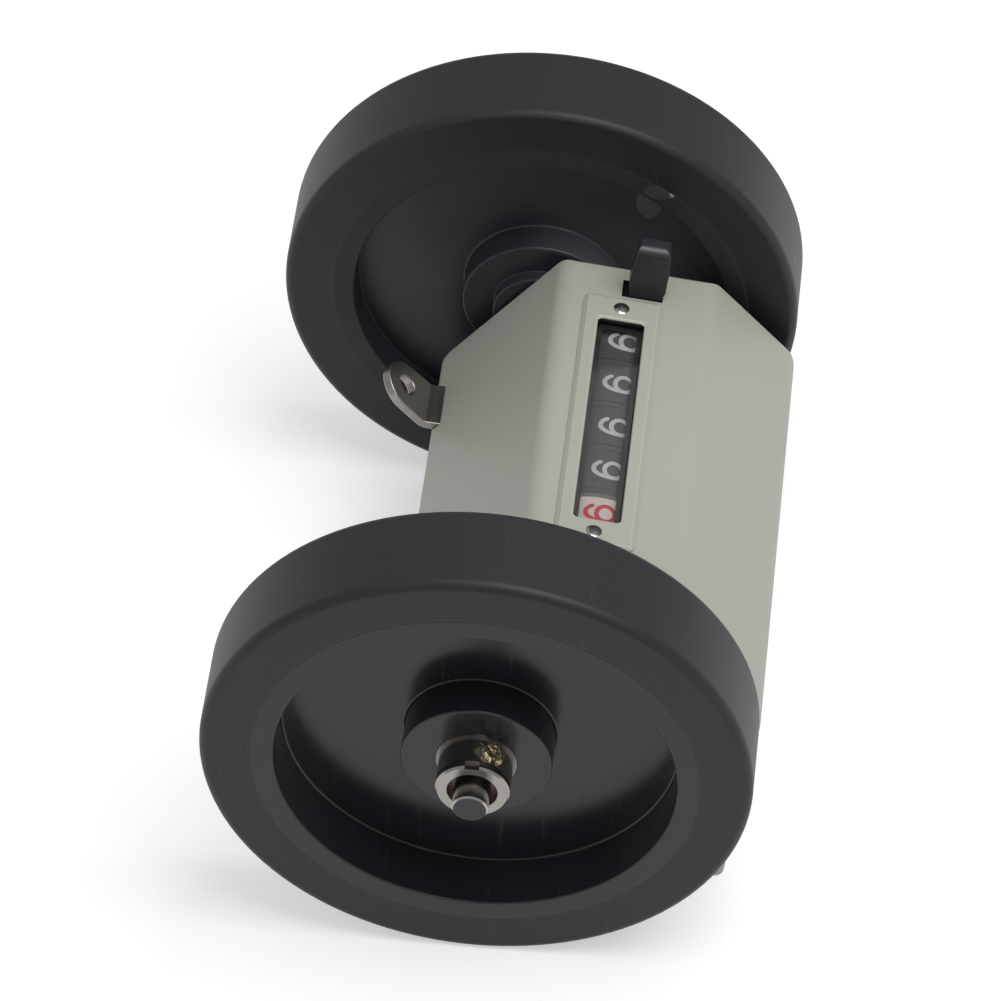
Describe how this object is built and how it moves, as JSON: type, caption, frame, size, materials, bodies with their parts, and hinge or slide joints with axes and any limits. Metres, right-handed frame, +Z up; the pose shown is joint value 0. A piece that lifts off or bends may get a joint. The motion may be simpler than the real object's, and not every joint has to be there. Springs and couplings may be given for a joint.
{
  "type": "cable length counter",
  "caption": "Rolling length counter: two measuring wheels on one shaft drive a figure counter in a sloped grey housing between them, with a reset key and bent mounting ears.",
  "frame": {"origin": "middle of the main shaft, which is also the middle of the bounding box", "axes": "+X along the shaft towards the wheel away from the reset key, +Z up as the counter stands on its wheels and the rear lower edge of its housing, +Y towards the housing's rear wall"},
  "size_m": [0.1648, 0.106, 0.106],
  "materials": {
    "painted_grey": "light grey enamel with a fine texture",
    "black_plastic": "glossy black moulding",
    "tyre": "charcoal, satin",
    "clear_strip": "clear window strip",
    "white_plastic": "off-white with red figures",
    "black_steel": "dark rivet heads",
    "bronze": "plain bronze",
    "plated_steel": "dull nickel plating"
  },
  "bodies": {
    "housing": {"housing_cover": "painted_grey", "base_plate": "painted_grey", "bezel_frame": "painted_grey", "bezel_rivets": "black_steel", "window_lens": "clear_strip", "mounting_bracket": "plated_steel", "bracket_screws": "plated_steel", "base_screws": "plated_steel", "shaft_bushes": "bronze", "far_side_plate": "plated_steel", "near_side_plate": "plated_steel", "tie_rods": "plated_steel", "side_plate_screws": "plated_steel", "drum_axle": "plated_steel", "pinion_axle": "plated_steel", "key_pin": "plated_steel", "key_spring": "plated_steel"},
    "wheels": {"main_shaft": "plated_steel", "near_wheel_core": "black_plastic", "far_wheel_core": "black_plastic", "near_tyre": "tyre", "far_tyre": "tyre", "near_hub_bush": "plated_steel", "far_hub_bush": "plated_steel", "set_screws": "bronze"},
    "tenths": {"tenths_wheel": "white_plastic", "tenths_gear": "bronze"},
    "ones": {"ones_wheel": "black_plastic"},
    "tens": {"tens_wheel": "black_plastic"},
    "hundreds": {"hundreds_wheel": "black_plastic"},
    "thousands": {"thousands_wheel": "black_plastic"},
    "carry_1": {"carry_pinion_1": "bronze"},
    "carry_2": {"carry_pinion_2": "bronze"},
    "carry_3": {"carry_pinion_3": "bronze"},
    "carry_4": {"carry_pinion_4": "bronze"},
    "key": {"reset_key": "black_plastic"},
    "rocker": {"reset_rocker": "plated_steel"}
  },
  "joints": [
    {"name": "wheels_roll", "type": "hinge", "parent": "housing", "child": "wheels", "pos_m": [0, 0, 0], "axis": [1, 0, 0], "continuous": true},
    {"name": "tenths_turn", "type": "hinge", "parent": "housing", "child": "tenths", "pos_m": [0, 0.01672, -0.00022], "axis": [1, 0, 0], "continuous": true},
    {"name": "ones_turn", "type": "hinge", "parent": "housing", "child": "ones", "pos_m": [0, 0.01672, -0.00022], "axis": [1, 0, 0], "continuous": true},
    {"name": "tens_turn", "type": "hinge", "parent": "housing", "child": "tens", "pos_m": [0, 0.01672, -0.00022], "axis": [1, 0, 0], "continuous": true},
    {"name": "hundreds_turn", "type": "hinge", "parent": "housing", "child": "hundreds", "pos_m": [0, 0.01672, -0.00022], "axis": [1, 0, 0], "continuous": true},
    {"name": "thousands_turn", "type": "hinge", "parent": "housing", "child": "thousands", "pos_m": [0, 0.01672, -0.00022], "axis": [1, 0, 0], "continuous": true},
    {"name": "carry_1_turn", "type": "hinge", "parent": "housing", "child": "carry_1", "pos_m": [0, 0.02312, -0.01575], "axis": [1, 0, 0], "continuous": true},
    {"name": "carry_2_turn", "type": "hinge", "parent": "housing", "child": "carry_2", "pos_m": [0, 0.02312, -0.01575], "axis": [1, 0, 0], "continuous": true},
    {"name": "carry_3_turn", "type": "hinge", "parent": "housing", "child": "carry_3", "pos_m": [0, 0.02312, -0.01575], "axis": [1, 0, 0], "continuous": true},
    {"name": "carry_4_turn", "type": "hinge", "parent": "housing", "child": "carry_4", "pos_m": [0, 0.02312, -0.01575], "axis": [1, 0, 0], "continuous": true},
    {"name": "key_press", "type": "hinge", "parent": "housing", "child": "key", "pos_m": [0, 0.022, 0.01138], "axis": [1, 0, 0], "range_deg": [0, 15], "stiffness_Nm_per_rad": 0.06, "springref_deg": -20.05},
    {"name": "rocker_swing", "type": "hinge", "parent": "housing", "child": "rocker", "pos_m": [0, 0.03562, 0.0023], "axis": [1, 0, 0], "range_deg": [-9, 0]}
  ],
  "couplings": [
    {"joint": "tenths_turn", "follows": "wheels_roll", "ratio": -0.33333},
    {"joint": "ones_turn", "follows": "wheels_roll", "ratio": -0.033333},
    {"joint": "tens_turn", "follows": "wheels_roll", "ratio": -0.0033333},
    {"joint": "hundreds_turn", "follows": "wheels_roll", "ratio": -0.00033333},
    {"joint": "thousands_turn", "follows": "wheels_roll", "ratio": -0.000033333},
    {"joint": "carry_1_turn", "follows": "wheels_roll", "ratio": 0.083333},
    {"joint": "carry_2_turn", "follows": "wheels_roll", "ratio": 0.0083333},
    {"joint": "carry_3_turn", "follows": "wheels_roll", "ratio": 0.00083333},
    {"joint": "carry_4_turn", "follows": "wheels_roll", "ratio": 0.000083333},
    {"joint": "rocker_swing", "follows": "key_press", "ratio": -0.6}
  ]
}
